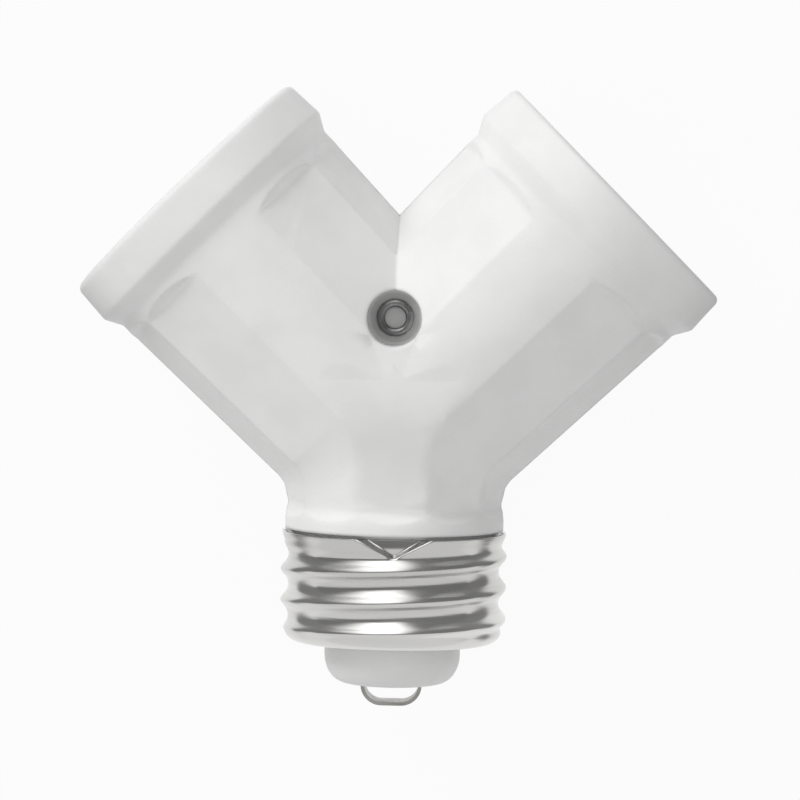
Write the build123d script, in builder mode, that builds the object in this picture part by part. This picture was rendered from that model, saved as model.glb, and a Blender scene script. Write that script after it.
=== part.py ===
from build123d import *
from math import cos, pi, radians, sin, tan
import os

# Twin lamp socket adapter: one medium screw base that feeds two medium sockets at right angles.
# It lies on its back on the face Z = 0: X runs to the right, Y from the base to the sockets,
# and Z from the back to the front. All sizes are in millimetres.

# Socket barrels, measured along their own axes from the point where the two axes meet
mouth_reach = 35.6
collar_radius = 17.3
collar_mouth_radius = 17.0
collar_length = 4.8
collar_step_length = 2.0
collar_edge_round = 0.8
collar_step_round = 0.9
land_length = 1.6
land_radius = 16.2
barrel_tilt = 45.0

# Flats moulded around each barrel and around the neck
flat_count = 10
barrel_corner_radius = 16.15
bend_corner_radius = 15.35
front_flat_height = 15.25
neck_corner_radius = 12.4
flat_ramp_angle = 40.0
flat_ramp_round = 1.0
flat_ramp_gap = 0.3
flat_blank_margin = 0.05
flat_cutter_margin = 2.1
neck_cutter_margin = 1.0
slope_cutter_margin = 2.0
bend_round = 4.0
bend_sections = 5
front_slope_start = 4.0
front_slope_end_angle = 6.0

# Neck and plug, measured down the screw axis from the meeting point
bead_radius = 12.68
bead_start = 12.9
neck_ramp_foot = 11.7
plug_radius = 11.7
shell_top = 14.1
plug_bottom = 26.9
shell_bottom = 27.3
nose_radius = 7.88
nose_bottom = 31.6
nose_edge_round = 2.9
bead_cone_round = 2.0
plug_edge_round = 0.8

# Inside the sockets
mouth_bore_radius = 13.5
mouth_bore_length = 4.6
mouth_lead_in = 0.5
socket_shell_radius = 13.65
socket_shell_wall = 0.35
socket_shell_fit = 0.15
socket_shell_round = 1.2
socket_shell_play = 0.2
socket_floor = 14.25
socket_floor_hole_radius = 8.6
contact_pocket_radius = 8.9
contact_pocket_floor = 10.2

# Base screw shell: a rolled right-hand thread
thread_pitch = 25.4 / 7
thread_mean_radius = 12.66
thread_throw = 0.43
thread_front_crest = 17.83
base_shell_wall = 0.3
base_rim_radius = 13.0
rim_length = 1.3
thread_fade = 1.2
base_skirt_length = 1.5
base_corner_round = 1.3
base_shell_fit = 0.2
base_shell_hole_fit = 0.25
turns_per_section = 1 / 8

# Contact strips
live_thickness = 0.42
live_width = 4.0
live_leg_spread = 6.68
live_loop_drop = 34.6
live_loop_round = 2.2
live_bend_round = 4.0
tongue_height = 11.2
tongue_tip_height = 11.9
tongue_root_reach = 3.8
tongue_tip_reach = 3.2
tongue_round = 0.8
neutral_thickness = 0.3
neutral_width = 3.0
neutral_tab_tip_reach = 9.3
neutral_tab_reach = 13.0
neutral_leg_reach = 10.6
neutral_end = 21.0
neutral_jog_start = 15.0
neutral_jog_length = 1.5
neutral_round = 0.6
neutral_bend_round = 3.0
strip_clearance = 0.1

# Rivets
housing_rivet_height = 10.2
housing_rivet_radius = 1.55
housing_rivet_bore_radius = 1.25
housing_rivet_flange_radius = 2.15
housing_rivet_flange_height = 0.8
housing_rivet_head_round = 0.5
housing_rivet_flange_foot_round = 0.2
housing_rivet_flange_round = 0.38
housing_rivet_hollow_round = 0.3
housing_rivet_hollow_depth = 5.0
housing_rivet_head_radius = 2.8
housing_rivet_head_height = 1.1
rivet_recess_radius = 3.15
rivet_recess_depth = 3.0
rivet_clearance = 0.1
shell_rivet_reach = 11.0
shell_rivet_radius = 0.9
shell_rivet_head_radius = 1.5
shell_rivet_head_height = 0.5
shell_rivet_head_round = 0.3
shell_rivet_pocket_radius = 2.2
shell_rivet_pocket_depth = 1.2

# Lying on its back, the adapter rests on its two collars
rest_height = collar_radius
tilt_sin = sin(radians(barrel_tilt))
tilt_cos = cos(radians(barrel_tilt))
mouth_top = (
    (mouth_reach - collar_edge_round) * tilt_cos
    + (collar_mouth_radius - collar_edge_round) * tilt_sin
    + collar_edge_round
)
meeting_y = (live_loop_drop - mouth_top) / 2
meeting = Vector(0, meeting_y, rest_height)

parting = Plane(origin=meeting)
side_view = Plane(origin=meeting, x_dir=(0, 1, 0), z_dir=(1, 0, 0))
screw_frame = Plane(origin=meeting, x_dir=(1, 0, 0), z_dir=(0, -1, 0))


def socket_frame(side):
    """Frame on a barrel's axis: Z runs out of the mouth. side is -1 on the left and 1 on the right."""
    outward = Vector(side * tilt_sin, tilt_cos, 0)
    toward_front = Vector(0, 0, 1)
    return Plane(origin=meeting, x_dir=toward_front.cross(outward), z_dir=outward)


def half_section(frame):
    """Sketch plane for turned pieces: X runs out from the frame's axis and Y along it."""
    return Plane(origin=frame.origin, x_dir=frame.x_dir, z_dir=-frame.y_dir)


def frame_axis(frame):
    return Axis(frame.origin, frame.z_dir)


def left_place(along, across):
    """Point in the parting plane, given along the left barrel's axis and across it."""
    return (across * tilt_cos - along * tilt_sin, across * tilt_sin + along * tilt_cos)


def mirrored(points):
    """The points, then the same ones on the other side of the middle plane."""
    return points + [(-x, y) for x, y in reversed(points)]


def mirrored_list(values):
    return values + values[::-1]


left_frame = socket_frame(-1)
right_frame = socket_frame(1)

# Distances that follow from the sizes above
flat_angle = 360 / flat_count
flat_ratio = cos(radians(flat_angle / 2))
barrel_flat_height = barrel_corner_radius * flat_ratio
bend_flat_height = bend_corner_radius * flat_ratio
neck_flat_height = neck_corner_radius * flat_ratio
step_end = mouth_reach - collar_length
step_start = step_end - collar_step_length
land_start = step_start - land_length
bend_x = -(neck_corner_radius + bend_round)
bend_y = -(bend_corner_radius + bend_round + bend_x * tilt_cos) / tilt_sin
bend_start = bend_y * tilt_cos - bend_x * tilt_sin
neck_start = -bend_y
lip_start = mouth_reach - mouth_bore_length
socket_shell_top = lip_start - socket_shell_play
ramp_slope = tan(radians(flat_ramp_angle))
front_slope_end = (-cos(radians(front_slope_end_angle)), -sin(radians(front_slope_end_angle)))


def flat_cutter(height_low, height_high, low, foot, reach):
    """Wedge that cuts one flat: from low to foot along the axis, then up a ramp and out."""
    ramp_end = foot + (reach - height_high) / ramp_slope * (1 if foot > low else -1)
    with BuildPart() as cutter:
        with BuildSketch(Plane.XZ):
            with BuildLine():
                FilletPolyline(
                    (height_low, low),
                    (height_high, foot),
                    (reach, ramp_end),
                    (reach, low),
                    radius=[0, flat_ramp_round, 0, 0],
                    close=True,
                )
            make_face()
        extrude(amount=reach / 2, both=True)
    return cutter.part


# One barrel before it is hollowed: a turned blank with flats all around
with BuildPart() as barrel_blank:
    with BuildSketch(Plane.XZ) as barrel_profile:
        with BuildLine():
            FilletPolyline(
                (0, bend_start),
                (bend_corner_radius + flat_blank_margin, bend_start),
                (land_radius, land_start),
                (land_radius, step_start),
                (collar_radius, step_end),
                (collar_mouth_radius, mouth_reach),
                (0, mouth_reach),
                radius=[0, 0, 0, collar_step_round, collar_step_round, collar_edge_round, 0],
                close=True,
            )
        make_face()
    revolve(axis=Axis.Z)
    ramp_foot = land_start - flat_ramp_gap
    cutter_reach = land_radius + flat_cutter_margin
    side_cutter = flat_cutter(
        bend_flat_height, barrel_flat_height, bend_start, ramp_foot, cutter_reach
    )
    front_cutter = flat_cutter(
        front_flat_height, front_flat_height, bend_start, ramp_foot, cutter_reach
    )
    with Locations((0, 0, 0)):
        for index in range(flat_count):
            angle = flat_angle / 2 + index * flat_angle
            faces_front = abs(sin(radians(angle))) > 0.999
            add(front_cutter if faces_front else side_cutter, rotation=(0, 0, angle), mode=Mode.SUBTRACT)


def bend_section(turn):
    """Plane across the bend, turned from the neck (0) to the barrel (1), and its corner radius."""
    angle = radians(barrel_tilt * turn)
    outward = Vector(cos(angle), sin(angle), 0)
    corner = neck_corner_radius + (bend_corner_radius - neck_corner_radius) * turn
    centre = meeting + Vector(bend_x, bend_y, 0) + outward * (bend_round + corner)
    return Plane(origin=centre, x_dir=outward, z_dir=(sin(angle), -cos(angle), 0)), corner


# The bend from the left barrel to the neck. Its front and back come to a ridge, which is cut flat later
with BuildPart() as bend:
    for step in range(bend_sections):
        plane, corner = bend_section(step / (bend_sections - 1))
        ridge = corner * flat_ratio / sin(radians(1.5 * flat_angle))
        with BuildSketch(plane):
            with BuildLine():
                Polyline(
                    (corner, 0),
                    (corner * cos(radians(flat_angle)), corner * sin(radians(flat_angle))),
                    (0, ridge),
                    (-corner * cos(radians(flat_angle)), corner * sin(radians(flat_angle))),
                    (-corner, 0),
                    (-corner * cos(radians(flat_angle)), -corner * sin(radians(flat_angle))),
                    (0, -ridge),
                    (corner * cos(radians(flat_angle)), -corner * sin(radians(flat_angle))),
                    close=True,
                )
            make_face()
    loft()
    for direction in (1, -1):
        with BuildSketch(parting.offset(direction * front_flat_height)):
            Rectangle(4 * land_radius, 4 * land_radius)
        extrude(amount=direction * land_radius, mode=Mode.SUBTRACT)

# The neck, its bead, the plug that the base shell is pushed onto, and the nose
with BuildPart() as neck_blank:
    with BuildSketch(Plane.XZ):
        with BuildLine():
            FilletPolyline(
                (0, neck_start),
                (neck_corner_radius + flat_blank_margin, neck_start),
                (bead_radius, bead_start),
                (bead_radius, shell_top),
                (plug_radius, shell_top),
                (plug_radius, plug_bottom),
                (nose_radius, plug_bottom),
                (nose_radius, nose_bottom),
                (0, nose_bottom),
                radius=[0, 0, bead_cone_round, 0, 0, plug_edge_round, 0, nose_edge_round, 0],
                close=True,
            )
        make_face()
    revolve(axis=Axis.Z)
    neck_cutter = flat_cutter(
        neck_flat_height, neck_flat_height, neck_start, neck_ramp_foot,
        bead_radius + neck_cutter_margin,
    )
    for index in range(flat_count):
        add(neck_cutter, rotation=(0, 0, flat_angle / 2 + index * flat_angle), mode=Mode.SUBTRACT)

# The outside of the whole housing
with BuildPart() as housing_outside:
    with Locations(Location(left_frame)):
        add(barrel_blank.part)
    add(bend.part)
    mirror(about=Plane.YZ)
    with Locations(Location(screw_frame)):
        add(neck_blank.part)
    with BuildSketch(side_view):
        with BuildLine() as slope:
            front_curve = Spline(
                (front_slope_start, front_flat_height),
                (-neck_start, neck_flat_height),
                tangents=[(-1, 0), front_slope_end],
            )
            Polyline(
                front_curve @ 1,
                (-neck_start, land_radius + slope_cutter_margin),
                (front_slope_start, land_radius + slope_cutter_margin),
                front_curve @ 0,
            )
        make_face()
        mirror(about=Plane.XZ)
    extrude(amount=land_radius, both=True, mode=Mode.SUBTRACT)


# The live strip: one bent band from the left contact tongue, under the nose, to the right one
leg_bend_across = -tongue_root_reach
leg_bend_along = (live_leg_spread / 2 + leg_bend_across * tilt_cos) / tilt_sin
loop_depth = live_loop_drop - live_thickness / 2
with BuildLine(parting) as live_path:
    FilletPolyline(
        *mirrored(
            [
                left_place(tongue_tip_height, tongue_tip_reach),
                left_place(tongue_height, -tongue_root_reach),
                left_place(leg_bend_along, leg_bend_across),
                (-live_leg_spread / 2, -loop_depth),
            ]
        ),
        radius=mirrored_list([tongue_round, live_bend_round, live_loop_round]),
    )

# A neutral strip: from its tab under the left socket's floor to the inside of the base shell
neutral_tab_height = socket_floor - neutral_thickness / 2
neutral_bend_along = (neutral_leg_reach - neutral_tab_reach * tilt_cos) / tilt_sin
base_shell_inner = thread_mean_radius - thread_throw - base_shell_wall
neutral_contact_x = plug_radius - neutral_thickness / 2
with BuildLine(parting) as neutral_path:
    FilletPolyline(
        left_place(neutral_tab_height, -neutral_tab_tip_reach),
        left_place(neutral_tab_height, -neutral_tab_reach),
        left_place(neutral_bend_along, -neutral_tab_reach),
        (-neutral_leg_reach, -neutral_jog_start),
        (-neutral_contact_x, -neutral_jog_start - neutral_jog_length),
        (-neutral_contact_x, -neutral_end),
        radius=[neutral_round, neutral_bend_round, neutral_round, neutral_round],
    )


def bent_strip(path, thickness, width):
    """Flat strip bent along a path in the parting plane."""
    with BuildPart() as strip:
        with BuildSketch(Plane(origin=path @ 0, x_dir=(0, 0, 1), z_dir=path % 0)):
            Rectangle(width, thickness)
        sweep(path=path)
    return strip.part


with BuildPart() as live_strip:
    add(bent_strip(live_path.wire(), live_thickness, live_width))

with BuildPart() as left_neutral_strip:
    add(bent_strip(neutral_path.wire(), neutral_thickness, neutral_width))
    with BuildSketch(left_frame):
        with Locations((shell_rivet_reach, 0)):
            Circle(shell_rivet_radius)
    extrude(amount=socket_floor + neutral_thickness, mode=Mode.SUBTRACT)

# Rivet that clamps the strip's tab under the socket shell's floor
rivet_bottom = socket_floor - neutral_thickness
rivet_top = socket_floor + socket_shell_wall
with BuildPart() as left_shell_rivet:
    for start, radius, height in (
        (rivet_bottom - shell_rivet_head_height, shell_rivet_head_radius, shell_rivet_head_height),
        (rivet_bottom, shell_rivet_radius, rivet_top - rivet_bottom),
        (rivet_top, shell_rivet_head_radius, shell_rivet_head_height),
    ):
        with BuildSketch(left_frame.offset(start)):
            with Locations((shell_rivet_reach, 0)):
                Circle(radius)
        extrude(amount=height)
    outer_rims = left_shell_rivet.edges().filter_by(GeomType.CIRCLE).sort_by(frame_axis(left_frame))
    fillet([outer_rims[0], outer_rims[-1]], shell_rivet_head_round)

# A socket shell: a drawn cup with a large hole in its floor
with BuildPart() as left_screw_shell:
    with BuildSketch(half_section(left_frame)):
        with BuildLine():
            FilletPolyline(
                (socket_floor_hole_radius, socket_floor),
                (socket_shell_radius, socket_floor),
                (socket_shell_radius, socket_shell_top),
                (socket_shell_radius - socket_shell_wall, socket_shell_top),
                (socket_shell_radius - socket_shell_wall, rivet_top),
                (socket_floor_hole_radius, rivet_top),
                radius=[
                    0, socket_shell_round, 0, 0, socket_shell_round - socket_shell_wall, 0,
                ],
                close=True,
            )
        make_face()
    revolve(axis=frame_axis(left_frame))
    with BuildSketch(left_frame.offset(socket_floor)):
        with Locations((shell_rivet_reach, 0)):
            Circle(shell_rivet_radius)
    extrude(amount=socket_shell_wall, mode=Mode.SUBTRACT)

# The base shell: round sections pushed off the axis towards the thread's crest
thread_end = shell_bottom - base_skirt_length
thread_length = thread_end - shell_top
section_count = round(thread_length / (thread_pitch * turns_per_section)) + 1


def base_section(depth):
    """Radius of the base shell's outside at a depth, and how far its centre is pushed sideways."""
    from_rim = depth - shell_top
    from_end = thread_end - depth
    fade = min(1, max(0, from_rim - rim_length) / thread_fade, from_end / thread_fade)
    flare = max(0, 1 - from_rim / rim_length)
    return thread_mean_radius + (base_rim_radius - thread_mean_radius) * flare, thread_throw * fade


with BuildPart() as base_screw_shell:
    for index in range(section_count):
        depth = shell_top + thread_length * index / (section_count - 1)
        radius, throw = base_section(depth)
        turn = radians(90) + 2 * pi * (depth - thread_front_crest) / thread_pitch
        with BuildSketch(screw_frame.offset(depth)):
            with Locations((throw * cos(turn), throw * sin(turn))):
                Circle(radius)
    loft()
    with BuildSketch(half_section(screw_frame)):
        with BuildLine():
            FilletPolyline(
                (0, thread_end),
                (thread_mean_radius, thread_end),
                (thread_mean_radius, shell_bottom),
                (0, shell_bottom),
                radius=[0, 0, base_corner_round, 0],
                close=True,
            )
        make_face()
    revolve(axis=frame_axis(screw_frame))
    with BuildSketch(half_section(screw_frame)):
        with BuildLine():
            FilletPolyline(
                (0, shell_top),
                (base_rim_radius - base_shell_wall, shell_top),
                (base_shell_inner, shell_top + rim_length),
                (base_shell_inner, shell_bottom - base_shell_wall),
                (nose_radius + base_shell_hole_fit, shell_bottom - base_shell_wall),
                (nose_radius + base_shell_hole_fit, shell_bottom),
                (0, shell_bottom),
                radius=[0, 0, 0, base_corner_round - base_shell_wall, 0, 0, 0],
                close=True,
            )
        make_face()
    revolve(axis=frame_axis(screw_frame), mode=Mode.SUBTRACT)

# Semi-tubular rivet through both halves: solid head at the back, rolled-over hollow end at the front
rivet_centre = (0, housing_rivet_height)
rivet_origin = parting.from_local_coords((0, housing_rivet_height, 0))
recess_floor = front_flat_height - rivet_recess_depth
with BuildPart() as housing_rivet:
    with BuildSketch(Plane(origin=rivet_origin, x_dir=(1, 0, 0), z_dir=(0, -1, 0))):
        with BuildLine():
            FilletPolyline(
                (0, -recess_floor - housing_rivet_head_height),
                (housing_rivet_head_radius, -recess_floor - housing_rivet_head_height),
                (housing_rivet_head_radius, -recess_floor),
                (housing_rivet_radius, -recess_floor),
                (housing_rivet_radius, recess_floor),
                (housing_rivet_flange_radius, recess_floor),
                (housing_rivet_flange_radius, recess_floor + housing_rivet_flange_height),
                (housing_rivet_bore_radius, recess_floor + housing_rivet_flange_height),
                (housing_rivet_bore_radius, recess_floor - housing_rivet_hollow_depth),
                (0, recess_floor - housing_rivet_hollow_depth),
                radius=[
                    0, housing_rivet_head_round, 0, 0, 0, housing_rivet_flange_foot_round,
                    housing_rivet_flange_round, housing_rivet_flange_round,
                    housing_rivet_hollow_round, 0,
                ],
                close=True,
            )
        make_face()
    revolve(axis=Axis(rivet_origin, (0, 0, 1)))

# The hollowed housing, before it is parted
with BuildPart() as housing:
    add(housing_outside.part)
    for frame in (left_frame, right_frame):
        with BuildSketch(half_section(frame)):
            with BuildLine():
                Polyline(
                    (0, contact_pocket_floor),
                    (contact_pocket_radius, contact_pocket_floor),
                    (contact_pocket_radius, socket_floor),
                    (socket_shell_radius + socket_shell_fit, socket_floor),
                    (socket_shell_radius + socket_shell_fit, lip_start),
                    (mouth_bore_radius, lip_start),
                    (mouth_bore_radius, mouth_reach - mouth_lead_in),
                    (mouth_bore_radius + mouth_lead_in, mouth_reach),
                    (0, mouth_reach),
                    close=True,
                )
            make_face()
        revolve(axis=frame_axis(frame), mode=Mode.SUBTRACT)
    add(
        bent_strip(
            live_path.wire(),
            live_thickness + 2 * strip_clearance,
            live_width + 2 * strip_clearance,
        ),
        mode=Mode.SUBTRACT,
    )
    neutral_slot = bent_strip(
        neutral_path.wire(),
        neutral_thickness + 2 * strip_clearance,
        neutral_width + 2 * strip_clearance,
    )
    add([neutral_slot, neutral_slot.mirror(Plane.YZ)], mode=Mode.SUBTRACT)
    for frame, side in ((left_frame, 1), (right_frame, -1)):
        with BuildSketch(frame.offset(socket_floor - shell_rivet_pocket_depth)):
            with Locations((side * shell_rivet_reach, 0)):
                Circle(shell_rivet_pocket_radius)
        extrude(amount=shell_rivet_pocket_depth, mode=Mode.SUBTRACT)
    with BuildSketch(parting):
        with Locations(rivet_centre):
            Circle(housing_rivet_radius + rivet_clearance)
    extrude(amount=front_flat_height, both=True, mode=Mode.SUBTRACT)
    for direction in (1, -1):
        with BuildSketch(parting.offset(direction * recess_floor)):
            with Locations(rivet_centre):
                Circle(rivet_recess_radius)
        extrude(amount=direction * rivet_recess_depth * 2, mode=Mode.SUBTRACT)

with BuildPart() as front_housing:
    add(housing.part)
    split(bisect_by=parting, keep=Keep.TOP)

with BuildPart() as rear_housing:
    add(housing.part)
    split(bisect_by=parting, keep=Keep.BOTTOM)

with BuildPart() as right_neutral_strip:
    add(left_neutral_strip.part)
    mirror(about=Plane.YZ, mode=Mode.REPLACE)

with BuildPart() as right_shell_rivet:
    add(left_shell_rivet.part)
    mirror(about=Plane.YZ, mode=Mode.REPLACE)

with BuildPart() as right_screw_shell:
    add(left_screw_shell.part)
    mirror(about=Plane.YZ, mode=Mode.REPLACE)

pieces = {
    "front_housing": front_housing,
    "rear_housing": rear_housing,
    "housing_rivet": housing_rivet,
    "base_screw_shell": base_screw_shell,
    "live_strip": live_strip,
    "left_screw_shell": left_screw_shell,
    "left_neutral_strip": left_neutral_strip,
    "left_shell_rivet": left_shell_rivet,
    "right_screw_shell": right_screw_shell,
    "right_neutral_strip": right_neutral_strip,
    "right_shell_rivet": right_shell_rivet,
}
os.makedirs("parts", exist_ok=True)
for name, piece in pieces.items():
    piece.part.label = name
    export_step(piece.part, f"parts/{name}.step")
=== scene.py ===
import bmesh
import bpy
import math
import numpy as np
from mathutils import Matrix, Vector


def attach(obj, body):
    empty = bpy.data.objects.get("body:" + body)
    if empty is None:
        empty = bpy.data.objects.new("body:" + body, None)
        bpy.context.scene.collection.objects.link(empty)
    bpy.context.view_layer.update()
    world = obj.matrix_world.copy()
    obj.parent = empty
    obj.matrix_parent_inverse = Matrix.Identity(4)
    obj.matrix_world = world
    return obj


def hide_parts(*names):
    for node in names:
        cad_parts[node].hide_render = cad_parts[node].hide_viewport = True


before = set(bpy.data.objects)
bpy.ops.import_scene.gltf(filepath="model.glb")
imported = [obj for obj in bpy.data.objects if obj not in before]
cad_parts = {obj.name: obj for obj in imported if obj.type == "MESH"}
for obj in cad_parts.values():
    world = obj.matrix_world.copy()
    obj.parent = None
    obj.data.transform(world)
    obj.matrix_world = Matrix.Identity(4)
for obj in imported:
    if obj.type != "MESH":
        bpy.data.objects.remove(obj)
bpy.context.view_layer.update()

# Housing: two mouldings in white urea plastic, pressed in a steel tool whose fine spark finish they
# keep. They are parted on the plane through all three axes, and one rivet clamps them together. They
# lie on their back: X to the photograph's right, Y from the base to the sockets, Z to the front.
MM = 0.001
# The three axes meet here, on the parting plane.
meeting_point = np.array((0.0, -1.1312, 17.3)) * MM

plastic_colour = (0.83, 0.83, 0.825, 1)
plastic_grey = (0.80, 0.80, 0.795, 1)
# Painted shade for the thin dark line where the two halves meet on the parting plane.
plastic_parting_shade = (0.55, 0.54, 0.52, 1)
# Painted shade inside the rivet's recess.
plastic_recess_shade = (0.50, 0.50, 0.495, 1)
plastic_roughness, plastic_roughness_spread = 0.42, 0.06
plastic_ior = 1.5
plastic_grain_per_metre, plastic_cloud_per_metre = 2600, 160
plastic_grain_depth = 0.03 * MM
plastic_edge_radius, plastic_edge_samples = 0.7 * MM, 8
parting_gap_width = 0.12 * MM
recess_shade_full, recess_shade_end = 2.7 * MM, 3.13 * MM
grain_detail, cloud_detail = 3, 2
grain_spread, cloud_spread = (0.3, 0.7), (0.35, 0.65)

# The outsides, in millimetres from the meeting point: the rivet's round recess, the two moulded flats
# that fall into the crotch, the saddle between the arms below them, the shallow cut that blends their
# steps, the notches for the base shell's stakes, and the nose's full length.
recess_reach, recess_radius, recess_floor, recess_steps = 10.8, 3.15, 9.9, 96
crotch_height, crotch_fall, crotch_rise, crotch_sink = 11.10, 0.4845, 0.5425, 0.02
crotch_reach, crotch_far, crotch_bottom, crotch_overlap = 14.0, 14.2, 8.4, 0.4
crotch_foot, crotch_foot_width, crotch_shoulder, crotch_half_width = 7.0, 2.2, 9.0, 3.2
saddle_reach, saddle_height, saddle_fall, saddle_rise = 8.0, 14.99, 0.14, 0.19
saddle_half_width, saddle_foot, saddle_far, saddle_top_fall = 2.4, 4.4, 9.0, 0.07
blend_half_width, blend_foot, blend_far, blend_height, blend_rise = 9.5, 3.9, 6.4, 15.24, 0.16
stake_across, stake_foot, stake_apex = 0.35, 14.5, 17.6
notch_half_width, notch_floor, notch_top = 5.2, 10.9, 12.2
nose_start, nose_end, nose_growth = 28.0, 31.0, 0.55
clear_height = 20.0
merge_distance = 1e-7


def socket_of(group, kind, name, way="INPUT"):
    """One named socket on a node group."""
    group.interface.new_socket(name, in_out=way, socket_type="NodeSocket" + kind)


def build_surface_grain():
    """Fine grain and a broad cloudiness, each from noise on the position that is handed in."""
    group = bpy.data.node_groups.new("surface grain", "ShaderNodeTree")
    socket_of(group, "Vector", "Position")
    nodes, links = group.nodes, group.links
    given = nodes.new("NodeGroupInput")
    handed = nodes.new("NodeGroupOutput")
    for name, detail in (("Grain", grain_detail), ("Cloud", cloud_detail)):
        socket_of(group, "Float", name + " per metre")
        socket_of(group, "Float", name, way="OUTPUT")
        noise = nodes.new("ShaderNodeTexNoise")
        noise.inputs["Detail"].default_value = detail
        links.new(given.outputs["Position"], noise.inputs["Vector"])
        links.new(given.outputs[name + " per metre"], noise.inputs["Scale"])
        links.new(noise.outputs["Fac"], handed.inputs[name])
    return group


surface_grain = build_surface_grain()


def new_material(name):
    """A node material, with its nodes, its links and its shader."""
    material = bpy.data.materials.new(name)
    material.use_nodes = True
    nodes = material.node_tree.nodes
    return material, nodes, material.node_tree.links, nodes["Principled BSDF"]


def grain_nodes(nodes, links, grain_per_metre, cloud_per_metre, stretch=(1, 1, 1)):
    """Object coordinates, stretched along the way the surface was worked, fed to the grain group."""
    where = nodes.new("ShaderNodeTexCoord")
    stretched = nodes.new("ShaderNodeMapping")
    stretched.inputs["Scale"].default_value = stretch
    links.new(where.outputs["Object"], stretched.inputs["Vector"])
    grain = nodes.new("ShaderNodeGroup")
    grain.node_tree = surface_grain
    grain.inputs["Grain per metre"].default_value = grain_per_metre
    grain.inputs["Cloud per metre"].default_value = cloud_per_metre
    links.new(stretched.outputs["Vector"], grain.inputs["Position"])
    return where, grain


def maths(nodes, links, operation, *given):
    """Output of one Math node. Each value given is a number or another node's output."""
    node = nodes.new("ShaderNodeMath")
    node.operation = operation
    for socket, value in zip(node.inputs, given):
        if isinstance(value, bpy.types.NodeSocket):
            links.new(value, socket)
        else:
            socket.default_value = value
    return node.outputs[0]


def mix_colour(nodes, links, amount, first, second):
    """Colour from first at 0 to second at 1. Each is a colour or another node's output."""
    mixed = nodes.new("ShaderNodeMix")
    mixed.data_type = "RGBA"
    links.new(amount, mixed.inputs["Factor"])
    for socket, colour in ((mixed.inputs["A"], first), (mixed.inputs["B"], second)):
        if isinstance(colour, tuple):
            socket.default_value = colour
        else:
            links.new(colour, socket)
    return mixed.outputs["Result"]


def range_of(nodes, links, value, from_low, from_high, to_low, to_high):
    """Smooth ease of a value from one range to another, level outside it."""
    mapped = nodes.new("ShaderNodeMapRange")
    mapped.interpolation_type = "SMOOTHSTEP"
    for name, number in (
        ("From Min", from_low), ("From Max", from_high), ("To Min", to_low), ("To Max", to_high),
    ):
        mapped.inputs[name].default_value = number
    links.new(value, mapped.inputs["Value"])
    return mapped.outputs["Result"]


def bump_from(nodes, links, height, distance):
    """The Bump node of a fine relief, whose normal goes to the shader."""
    bump = nodes.new("ShaderNodeBump")
    bump.inputs["Distance"].default_value = distance
    links.new(height, bump.inputs["Height"])
    return bump


def build_white_plastic():
    """Clouded white, with painted shade in a thin line along the parting plane and in the recess round
    the rivet's axis.
    """
    material, nodes, links, shader = new_material("white plastic")
    where, grain = grain_nodes(nodes, links, plastic_grain_per_metre, plastic_cloud_per_metre)
    cloud = range_of(nodes, links, grain.outputs["Cloud"], *cloud_spread, 0, 1)
    body = mix_colour(nodes, links, cloud, plastic_colour, plastic_grey)
    # Painted shade: a thin darker line along the parting plane, where the two halves meet.
    split = nodes.new("ShaderNodeSeparateXYZ")
    links.new(where.outputs["Object"], split.inputs["Vector"])
    height = maths(nodes, links, "SUBTRACT", split.outputs["Z"], meeting_point[2])
    apart = maths(nodes, links, "ABSOLUTE", height)
    gap = range_of(nodes, links, apart, 0, parting_gap_width, 1, 0)
    colour = mix_colour(nodes, links, gap, body, plastic_parting_shade)
    flat_place = nodes.new("ShaderNodeCombineXYZ")
    links.new(split.outputs["X"], flat_place.inputs["X"])
    links.new(split.outputs["Y"], flat_place.inputs["Y"])
    # Painted shade: the plastic darkens towards the rivet's axis, inside its recess.
    from_rivet = nodes.new("ShaderNodeVectorMath")
    from_rivet.operation = "DISTANCE"
    links.new(flat_place.outputs["Vector"], from_rivet.inputs[0])
    from_rivet.inputs[1].default_value = (0, meeting_point[1] + recess_reach * MM, 0)
    recess_shaded = range_of(nodes, links, from_rivet.outputs["Value"], recess_shade_full, recess_shade_end, 1, 0)
    links.new(mix_colour(nodes, links, recess_shaded, colour, plastic_recess_shade), shader.inputs["Base Color"])
    roughness = range_of(
        nodes, links, grain.outputs["Grain"], *grain_spread,
        plastic_roughness - plastic_roughness_spread, plastic_roughness + plastic_roughness_spread,
    )
    links.new(roughness, shader.inputs["Roughness"])
    bump = bump_from(nodes, links, grain.outputs["Grain"], plastic_grain_depth)
    rounded = nodes.new("ShaderNodeBevel")
    rounded.samples = plastic_edge_samples
    rounded.inputs["Radius"].default_value = plastic_edge_radius
    links.new(rounded.outputs["Normal"], bump.inputs["Normal"])
    links.new(bump.outputs["Normal"], shader.inputs["Normal"])
    shader.inputs["IOR"].default_value = plastic_ior
    return material


white_plastic = build_white_plastic()


def tool_mesh(name, corners, side):
    """Closed convex solid round corners in millimetres from the meeting point, on the front or back."""
    made = bmesh.new()
    for x, y, z in corners:
        made.verts.new((x, y, side * z))
    bmesh.ops.convex_hull(made, input=made.verts)
    bmesh.ops.recalc_face_normals(made, faces=made.faces)
    bmesh.ops.scale(made, verts=made.verts, vec=(MM, MM, MM))
    bmesh.ops.translate(made, verts=made.verts, vec=meeting_point)
    mesh = bpy.data.meshes.new(name)
    made.to_mesh(mesh)
    made.free()
    tool = bpy.data.objects.new(name, mesh)
    bpy.context.collection.objects.link(tool)
    return tool


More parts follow.
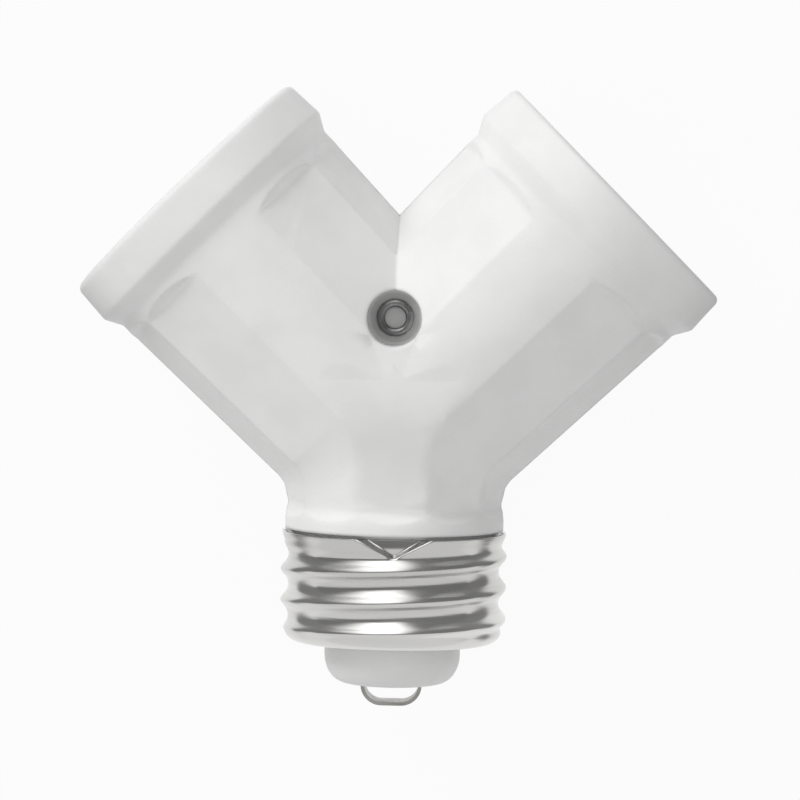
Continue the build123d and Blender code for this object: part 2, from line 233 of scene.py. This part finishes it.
def under_plane(corners, height_at):
    """Convex solid's corners cut back to those under the plane z = height_at(x, y)."""
    solid = bmesh.new()
    for corner in corners:
        solid.verts.new(corner)
    bmesh.ops.convex_hull(solid, input=solid.verts)
    level = height_at(0, 0)
    upright = Vector((level - height_at(1, 0), level - height_at(0, 1), 1)).normalized()
    bmesh.ops.bisect_plane(
        solid, geom=solid.verts[:] + solid.edges[:] + solid.faces[:], plane_co=(0, 0, level),
        plane_no=upright, clear_outer=True,
    )
    kept = [tuple(vertex.co) for vertex in solid.verts]
    solid.free()
    return kept


def prism(outline, low, high):
    """Corners of an outline in x and y, at a low and a high z."""
    return [(x, y, low) for x, y in outline] + [(x, y, high) for x, y in outline]


def crotch_plane(x, y):
    """The flat that falls into the crotch: z drops as y rises, and grows with x."""
    return crotch_height - crotch_sink + crotch_fall * (crotch_reach - y) + crotch_rise * x


def arm_plane(x, y):
    """The plane that caps the crotch's fill where the arm's own flat begins."""
    return saddle_height + saddle_fall * (saddle_reach - y) + saddle_rise * (x - saddle_half_width)


def saddle_plane(x, y):
    """The saddle's top: z drops evenly towards the rivet."""
    return saddle_height + saddle_top_fall * (saddle_reach - y)


def crotch_fill(hand):
    """Wedge under the flat that falls into the crotch on one hand. It runs on into the other hand's."""
    outline = [
        (-crotch_overlap, crotch_foot), (crotch_foot_width, crotch_foot),
        (crotch_half_width, crotch_shoulder), (crotch_half_width, crotch_far),
        (-crotch_overlap, crotch_far),
    ]
    solid = under_plane(prism(outline, crotch_bottom, clear_height), crotch_plane)
    return [(hand * x, y, z) for x, y, z in under_plane(solid, arm_plane)]


def saddle_fill():
    """Block between the arms, up to the saddle's top."""
    w = saddle_half_width
    outline = [(-w, saddle_foot), (w, saddle_foot), (w, saddle_far), (-w, saddle_far)]
    return under_plane(prism(outline, crotch_bottom, clear_height), saddle_plane)


def blend_cut():
    """Block whose floor rises with y, from just under the fills' steps to clear of the part."""
    return [
        (x, y, z) for x in (-blend_half_width, blend_half_width) for y in (blend_foot, blend_far)
        for z in (blend_height + blend_rise * (y - blend_foot), clear_height)
    ]


def notch_cut():
    """Block over the neck that narrows to a point along the base, where the shell is staked."""
    notch = [
        (stake_across + x, -stake_foot, z) for x in (-notch_half_width, notch_half_width)
        for z in (notch_floor, clear_height)
    ]
    return notch + [(stake_across, -stake_apex, z) for z in (notch_top, clear_height)]


def full_turn(steps):
    """Equal angles round one turn, the last one short of the first."""
    return np.linspace(0, 2 * np.pi, steps + 1)[:-1]


def recess_cut():
    """Round bore on the rivet's axis, from the recess's floor up."""
    turns = full_turn(recess_steps)
    across, along = recess_radius * np.cos(turns), recess_reach + recess_radius * np.sin(turns)
    return prism(np.stack((across, along), axis=-1).tolist(), recess_floor, clear_height)


def lengthen_nose(mesh):
    """y falls by the growth x a share that rises from 0 at the nose's start to 1 at its end."""
    places = np.empty(3 * len(mesh.vertices))
    mesh.vertices.foreach_get("co", places)
    places = places.reshape(-1, 3)
    depth = (meeting_point[1] - places[:, 1]) / MM
    places[:, 1] -= nose_growth * MM * np.clip((depth - nose_start) / (nose_end - nose_start), 0, 1)
    mesh.vertices.foreach_set("co", places.ravel())


def apply_tool(piece, tool, operation):
    """Joins or cuts the piece with the tool, keeps the result as its mesh and drops the tool."""
    cut = piece.modifiers.new("cut", "BOOLEAN")
    cut.operation = operation
    cut.solver = "EXACT"
    cut.object = tool
    bpy.context.view_layer.update()
    finished = bpy.data.meshes.new_from_object(
        piece.evaluated_get(bpy.context.evaluated_depsgraph_get())
    )
    piece.modifiers.clear()
    piece.data = finished
    bpy.data.objects.remove(tool)


def moulded_half(node, side):
    """The node's solid with its outside finished as the mould leaves it."""
    source = bmesh.new()
    source.from_mesh(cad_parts[node].data)
    bmesh.ops.remove_doubles(source, verts=source.verts, dist=merge_distance)
    mesh = bpy.data.meshes.new(node + "_moulding")
    source.to_mesh(mesh)
    source.free()
    piece = bpy.data.objects.new(node + "_moulding", mesh)
    bpy.context.collection.objects.link(piece)
    for name, corners, operation in (
        ("crotch", crotch_fill(-1), "UNION"), ("crotch", crotch_fill(1), "UNION"),
        ("saddle", saddle_fill(), "UNION"), ("blend", blend_cut(), "DIFFERENCE"),
        ("notch", notch_cut(), "DIFFERENCE"), ("recess", recess_cut(), "DIFFERENCE"),
    ):
        apply_tool(piece, tool_mesh(name, corners, side), operation)
    lengthen_nose(piece.data)
    piece.data.materials.clear()
    piece.data.materials.append(white_plastic)
    piece.data.update()
    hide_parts(node)
    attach(piece, "root")


moulded_half("front_housing", 1)
moulded_half("rear_housing", -1)

# Base shell: rolled from thin nickel-plated sheet, with a right-hand thread all the way up, a rim
# that flares round the neck's bead, and a bottom that turns in round the nose. It is pushed on and
# staked into the plastic at its rim, front and back.
base_top, base_bottom = 14.45 * MM, 27.25 * MM
base_mean_radius, base_thread_throw = 12.68 * MM, 0.44 * MM
base_pitch = 25.4 / 7 * MM
base_front_crest = 18.04 * MM
base_rim_radius, base_rim_length = 13.0 * MM, 1.3 * MM
base_skirt_radius, base_corner_round = 12.62 * MM, 1.5 * MM
base_sheet, base_hole_radius = 0.3 * MM, 8.11 * MM
thread_start, thread_full = 0.6 * base_rim_length, 2.0 * base_rim_length
thread_fade_start, thread_fade_end = 2.3 * MM, 0.9 * MM
thread_crest_sharpness = 0.35
stake_depth, stake_length, stake_half_width = 0.85 * MM, 2.3 * MM, 4.4 * MM
stake_turns = (math.radians(88.4), math.radians(268.4))
stake_edge, stake_slope = 0.18, 0.2
base_turns, base_rows = 320, 124
corner_rows, floor_rows = 12, 8
nickel_colour = (0.72, 0.715, 0.70, 1)
nickel_shade = (0.60, 0.595, 0.58, 1)
nickel_roughness = (0.14, 0.28)
nickel_stretch = (0.12, 1.6, 0.12)
rolled_grain_per_metre, rolled_cloud_per_metre = 900, 120
rolled_grain_depth = 0.03 * MM


def smooth_step(values, low, high):
    """Cubic ease from 0 at low to 1 at high."""
    share = np.clip((values - low) / (high - low), 0, 1)
    return share * share * (3 - 2 * share)


def closed_grid(name, points, material, origin, across, up, along):
    """Mesh of a grid that closes on itself both ways. Each point is (across, up, along) the axis."""
    rows, columns = points.shape[:2]
    placed = origin + points @ np.array((across, up, along))
    mesh = bpy.data.meshes.new(name)
    index = np.arange(rows * columns).reshape(rows, columns)
    beside = np.roll(index, -1, axis=1)
    quads = np.stack(
        (index, beside, np.roll(beside, -1, axis=0), np.roll(index, -1, axis=0)), axis=-1
    )
    mesh.from_pydata(placed.reshape(-1, 3), [], quads.reshape(-1, 4))
    mesh.polygons.foreach_set("use_smooth", np.ones(rows * columns, dtype=bool))
    mesh.materials.append(material)
    piece = bpy.data.objects.new(name, mesh)
    bpy.context.collection.objects.link(piece)
    return piece


def turned_in_profile(top, bottom, corner, hole_radius, side_radius, side_rows):
    """Outside of a sleeve from its rim, down the side, round a quarter circle and in to the hole.

    Gives the distance in from the side's radius, and the height along the axis."""
    side = np.linspace(top, bottom - corner, side_rows)
    bend = np.linspace(0, np.pi / 2, corner_rows + 1)[1:]
    floor = np.linspace(0, 1, floor_rows + 1)[1:]
    inward = np.concatenate((
        side * 0, corner * (1 - np.cos(bend)),
        corner + floor * (side_radius - corner - hole_radius),
    ))
    height = np.concatenate((side, bottom - corner + corner * np.sin(bend), bottom + floor * 0))
    return inward, height


def sheet_loop(radius, height, sheet):
    """Closes a wavy wall: the outside, then the same line moved in by the sheet along its normal."""
    radius_step = np.gradient(radius, axis=0)
    height_step = np.gradient(height, axis=0)
    length = np.hypot(radius_step, height_step)
    inside_radius = radius - sheet * height_step / length
    inside_height = height + sheet * radius_step / length
    return (
        np.concatenate((radius, inside_radius[::-1])), np.concatenate((height, inside_height[::-1]))
    )


def turned(radius, height, turns):
    """Points (across, up, along) of a wall whose radius and height are given at each turn."""
    return np.stack((radius * np.cos(turns), radius * np.sin(turns), height), axis=-1)


def base_shell_points():
    """Radius = mean + flare at the rim + throw x cos(turn - crest's turn) - the two staked dents."""
    turns = full_turn(base_turns)
    inward, height = turned_in_profile(
        base_top, base_bottom, base_corner_round, base_hole_radius, base_skirt_radius, base_rows
    )
    height = np.repeat(height[:, None], len(turns), axis=1)
    from_rim = height - base_top
    flare = (1 - smooth_step(from_rim, 0, base_rim_length)) * (base_rim_radius - base_mean_radius)
    thread = smooth_step(from_rim, thread_start, thread_full)
    fade = 1 - smooth_step(height, base_bottom - thread_fade_start, base_bottom - thread_fade_end)
    crest_turn = np.pi / 2 + 2 * np.pi * (height - base_front_crest) / base_pitch
    radius = base_skirt_radius + (base_mean_radius - base_skirt_radius) * fade - inward[:, None]
    phase = turns - crest_turn
    wave = np.cos(phase + thread_crest_sharpness * np.sin(phase))
    radius = radius + flare + base_thread_throw * thread * fade * wave
    for stake_turn in stake_turns:
        aside = np.abs(np.angle(np.exp(1j * (turns - stake_turn)))) * base_mean_radius
        bent = np.clip(1 - from_rim / stake_length, 0, 1)
        pressed = smooth_step(bent - aside / stake_half_width, 0, stake_edge)
        radius = radius - pressed * (flare + stake_depth * (1 - stake_slope + stake_slope * bent))
    radius, height = sheet_loop(radius, height, base_sheet)
    return turned(radius, height, turns)


def build_rolled_metal(name, bright, shade, roughness, stretch=(1, 1, 1)):
    """Plated sheet with streaks along the way it was rolled, and dull patches."""
    material, nodes, links, shader = new_material(name)
    where, grain = grain_nodes(
        nodes, links, rolled_grain_per_metre, rolled_cloud_per_metre, stretch=stretch
    )
    cloud = range_of(nodes, links, grain.outputs["Cloud"], *cloud_spread, 0, 1)
    links.new(mix_colour(nodes, links, cloud, bright, shade), shader.inputs["Base Color"])
    dull = range_of(nodes, links, grain.outputs["Grain"], *grain_spread, *roughness)
    links.new(dull, shader.inputs["Roughness"])
    bump = bump_from(nodes, links, grain.outputs["Grain"], rolled_grain_depth)
    links.new(bump.outputs["Normal"], shader.inputs["Normal"])
    shader.inputs["Metallic"].default_value = 1
    return material


nickel_plate = build_rolled_metal(
    "nickel plate", nickel_colour, nickel_shade, nickel_roughness, nickel_stretch
)
base_shell = closed_grid(
    "rolled_base_shell", base_shell_points(), nickel_plate, meeting_point,
    (1, 0, 0), (0, 0, 1), (0, -1, 0),
)
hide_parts("base_screw_shell")
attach(base_shell, "root")

# Socket shells: drawn cups of bright aluminium, rolled with the same right-hand thread, each riveted
# to its neutral strip through the floor and caught behind the lip of the mouth.
socket_floor, socket_top = 14.25 * MM, 30.87 * MM
socket_front_crest = 22.0 * MM
socket_mean_radius, socket_thread_throw = 13.22 * MM, 0.42 * MM
socket_sheet, socket_corner, socket_hole_radius = 0.35 * MM, 1.2 * MM, 8.6 * MM
socket_rim_plain, socket_rim_full, socket_foot_full = 0.5 * MM, 2.0 * MM, 3.0 * MM
socket_turns, socket_rows = 192, 150
aluminium_colour = (0.80, 0.80, 0.79, 1)
aluminium_shade = (0.66, 0.66, 0.65, 1)
aluminium_roughness = (0.2, 0.34)


def socket_shell_points(side):
    """Radius = mean + throw x cos(turn - crest's turn), plain at the rim and at the floor."""
    turns = full_turn(socket_turns)
    side_radius = socket_mean_radius + socket_thread_throw
    inward, height = turned_in_profile(
        -socket_top, -socket_floor, socket_corner, socket_hole_radius, side_radius, socket_rows
    )
    height = np.repeat(-height[:, None], len(turns), axis=1)
    rim = smooth_step(socket_top - height, socket_rim_plain, socket_rim_full)
    floor = smooth_step(height, socket_floor + socket_corner, socket_floor + socket_foot_full)
    crest_turn = -side * np.pi / 2 + 2 * np.pi * (height - socket_front_crest) / base_pitch
    wave = socket_thread_throw * rim * floor
    radius = side_radius - inward[:, None] - wave + wave * np.cos(turns - crest_turn)
    radius, height = sheet_loop(radius, -height, socket_sheet)
    return turned(radius, -height, turns)


socket_metal = build_rolled_metal(
    "bright aluminium", aluminium_colour, aluminium_shade, aluminium_roughness
)
for word, side in (("left", -1), ("right", 1)):
    outward = np.array((side * math.sqrt(0.5), math.sqrt(0.5), 0))
    shell = closed_grid(
        word + "_threaded_shell", socket_shell_points(side), socket_metal, meeting_point,
        np.cross((0, 0, 1), outward), (0, 0, 1), outward,
    )
    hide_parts(word + "_screw_shell")
    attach(shell, "root")

# Contact strips: one tinned spring strip makes both centre contacts and the loop under the nose,
# and two thin ones join the socket shells to the base shell. They are bent, and keep the CAD's shape.
strip_colour = (0.62, 0.61, 0.58, 1)
strip_shade = (0.46, 0.45, 0.43, 1)
strip_roughness = (0.25, 0.42)
strip_stretch = (0.6, 0.6, 2)


def dress(node, material):
    """Give every material slot of a CAD node the finished material."""
    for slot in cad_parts[node].material_slots:
        slot.material = material


strip_metal = build_rolled_metal(
    "tinned strip", strip_colour, strip_shade, strip_roughness, strip_stretch
)
for node in ("live_strip", "left_neutral_strip", "right_neutral_strip"):
    dress(node, strip_metal)

# Rivets: zinc-plated steel. One semi-tubular rivet clamps the housing, rolled over at the front, and
# a short one in each socket shell's floor keeps the CAD's shape.
rivet_colour = (0.40, 0.40, 0.40, 1)
rivet_shade = (0.22, 0.22, 0.22, 1)
rivet_roughness = (0.22, 0.40)
rivet_shank, rivet_hollow, rivet_hollow_depth = 1.55 * MM, 1.2 * MM, 3.2 * MM
rivet_flange, rivet_flange_height = 2.15 * MM, 0.75 * MM
rivet_head, rivet_head_height, rivet_head_round = 2.8 * MM, 1.0 * MM, 0.5 * MM
rivet_drill_point, rivet_axis_gap = 1.1 * MM, 0.02 * MM
rivet_turns, rivet_roll_points, rivet_head_points = 64, 25, 9


def rivet_points():
    """Lathed line: up the shank, over the rolled flange, down the hollow and round the back head."""
    front = recess_floor * MM
    roll_radius = (rivet_flange - rivet_hollow) / 2
    line = [(rivet_shank, 0.0), (rivet_shank, front)]
    line += [
        (rivet_hollow + roll_radius * (1 + math.cos(turn)),
         front + rivet_flange_height / 2 * (1 + math.sin(turn)))
        for turn in np.linspace(-0.5 * np.pi, np.pi, rivet_roll_points)
    ]
    hollow_floor = front + rivet_flange_height - rivet_hollow_depth
    line += [(rivet_hollow, hollow_floor), (rivet_axis_gap, hollow_floor - rivet_drill_point)]
    line += [(rivet_axis_gap, -front - rivet_head_height)]
    line += [
        (rivet_head - rivet_head_round * (1 - math.sin(turn)),
         -front - rivet_head_height + rivet_head_round * (1 - math.cos(turn)))
        for turn in np.linspace(0, np.pi / 2, rivet_head_points)
    ]
    line += [(rivet_head, -front), (rivet_shank, -front)]
    radius, height = np.array(line).T
    turns = full_turn(rivet_turns)
    return turned(radius[:, None] + 0 * turns, height[:, None] + 0 * turns, turns)


rivet_steel = build_rolled_metal("zinc-plated steel", rivet_colour, rivet_shade, rivet_roughness)
for node in ("left_shell_rivet", "right_shell_rivet"):
    dress(node, rivet_steel)
rivet = closed_grid(
    "rolled_rivet", rivet_points(), rivet_steel, meeting_point + np.array((0, recess_reach, 0)) * MM,
    (1, 0, 0), (0, 1, 0), (0, 0, 1),
)
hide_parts("housing_rivet")
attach(rivet, "root")

# Floor: a white sheet under the adapter. Reflections alone show a dark card at each side of it,
# which the rolled shell needs for its dark bands.
floor_size = 4.0
sheet_colour, sheet_roughness, sheet_glow = (0.6, 0.6, 0.6, 1), 0.8, 0.94
sheet_white = (1, 1, 1, 1)
sheet_dark = (0.24, 0.24, 0.24, 1)
sheet_white_reach, sheet_dark_reach = 34 * MM, 46 * MM
card_foot_start, card_foot_full = -60 * MM, -30 * MM

floor_mesh = bpy.data.meshes.new("floor")
half = floor_size / 2
floor_mesh.from_pydata(
    [(-half, -half, 0), (half, -half, 0), (half, half, 0), (-half, half, 0)], [], [(0, 1, 2, 3)]
)
floor = bpy.data.objects.new("floor", floor_mesh)
bpy.context.collection.objects.link(floor)
floor_material, nodes, links, shader = new_material("white sheet")
shader.inputs["Base Color"].default_value = sheet_colour
shader.inputs["Roughness"].default_value = sheet_roughness
path = nodes.new("ShaderNodeLightPath")
seen = maths(
    nodes, links, "MAXIMUM", path.outputs["Is Camera Ray"], path.outputs["Is Glossy Ray"]
)
floor_place = nodes.new("ShaderNodeTexCoord")
floor_split = nodes.new("ShaderNodeSeparateXYZ")
links.new(floor_place.outputs["Object"], floor_split.inputs["Vector"])
aside = maths(nodes, links, "ABSOLUTE", floor_split.outputs["X"])
card = range_of(nodes, links, aside, sheet_white_reach, sheet_dark_reach, 0, 1)
card_foot = range_of(
    nodes, links, floor_split.outputs["Y"], card_foot_start, card_foot_full, 0, 1
)
card_area = maths(nodes, links, "MULTIPLY", card, card_foot)
carded = maths(nodes, links, "MULTIPLY", card_area, path.outputs["Is Glossy Ray"])
glow = nodes.new("ShaderNodeEmission")
links.new(mix_colour(nodes, links, carded, sheet_white, sheet_dark), glow.inputs["Color"])
both = nodes.new("ShaderNodeMixShader")
links.new(maths(nodes, links, "MULTIPLY", seen, sheet_glow), both.inputs["Fac"])
links.new(shader.outputs["BSDF"], both.inputs[1])
links.new(glow.outputs["Emission"], both.inputs[2])
links.new(both.outputs["Shader"], nodes["Material Output"].inputs["Surface"])
floor_mesh.materials.append(floor_material)

# Light: even daylight, one large soft lamp high on the left and a softer one beside the camera.
# Reflections alone show a room in its place, pale at the base's end, with one bright window.
daylight = (0.62, 0.62, 0.62, 1)
daylight_strength = 1
room_dark, room_pale, room_fade = 0.22, 0.85, (-0.32, -0.04)
window_level, window_foot = 1.7, (0.22, 0.48)
window_left_edge, window_right_edge = (-0.85, -0.25), (-0.02, 0.30)
key_place, key_size, key_watts = (-0.58, 0.58, 0.40), 0.35, 4.0
front_place, front_size, front_watts = (-0.18, -0.02, 1.0), 0.5, 0.7

world = bpy.data.worlds.new("studio")
bpy.context.scene.world = world
world.use_nodes = True
nodes, links = world.node_tree.nodes, world.node_tree.links
backdrop = nodes["Background"]
backdrop.inputs["Strength"].default_value = daylight_strength
direction = nodes.new("ShaderNodeTexCoord")
split = nodes.new("ShaderNodeSeparateXYZ")
links.new(direction.outputs["Generated"], split.inputs["Vector"])
below = range_of(nodes, links, split.outputs["Y"], *room_fade, room_pale, room_dark)
window_rise = range_of(nodes, links, split.outputs["Y"], *window_foot, 0, 1)
window_left = range_of(nodes, links, split.outputs["X"], *window_left_edge, 0, 1)
window_right = range_of(nodes, links, split.outputs["X"], *window_right_edge, 1, 0)
window = maths(nodes, links, "MULTIPLY", window_left, window_right)
window_high = maths(nodes, links, "MULTIPLY", window, window_rise)
room = maths(nodes, links, "MULTIPLY_ADD", window_high, window_level, below)
world_path = nodes.new("ShaderNodeLightPath")
links.new(
    mix_colour(nodes, links, world_path.outputs["Is Glossy Ray"], daylight, room),
    backdrop.inputs["Color"],
)


def soft_lamp(name, place, size, watts):
    """Square lamp that faces the meeting point, and isn't seen in reflections."""
    lamp_data = bpy.data.lights.new(name, "AREA")
    lamp_data.shape = "SQUARE"
    lamp_data.size = size
    lamp_data.energy = watts
    lamp = bpy.data.objects.new(name, lamp_data)
    lamp.location = place
    facing = Vector(meeting_point) - Vector(place)
    lamp.rotation_euler = facing.to_track_quat("-Z", "Y").to_euler()
    lamp.visible_glossy = False
    bpy.context.collection.objects.link(lamp)


soft_lamp("key lamp", key_place, key_size, key_watts)
soft_lamp("front lamp", front_place, front_size, front_watts)

# Camera: it looks almost straight down at the meeting point, with a long lens, as the photograph's
# nearly even scale shows.
camera_offset = np.array((15.92, 31.85, 550.0)) * MM
camera_turns = (0.0563, -0.0282, -0.0174)
camera_lens, camera_sensor = 213.6, 36

turn_x, turn_y, turn_z = camera_turns
view_turn = (
    Matrix.Rotation(turn_z, 3, "Z") @ Matrix.Rotation(turn_x, 3, "X")
    @ Matrix.Rotation(turn_y, 3, "Y")
)
camera_data = bpy.data.cameras.new("camera")
camera_data.lens = camera_lens
camera_data.sensor_width = camera_sensor
camera = bpy.data.objects.new("camera", camera_data)
camera_place = Matrix.Translation(Vector(meeting_point + camera_offset))
camera.matrix_world = camera_place @ view_turn.transposed().to_4x4()
bpy.context.collection.objects.link(camera)
bpy.context.scene.camera = camera
bpy.context.scene.view_settings.view_transform = "Standard"
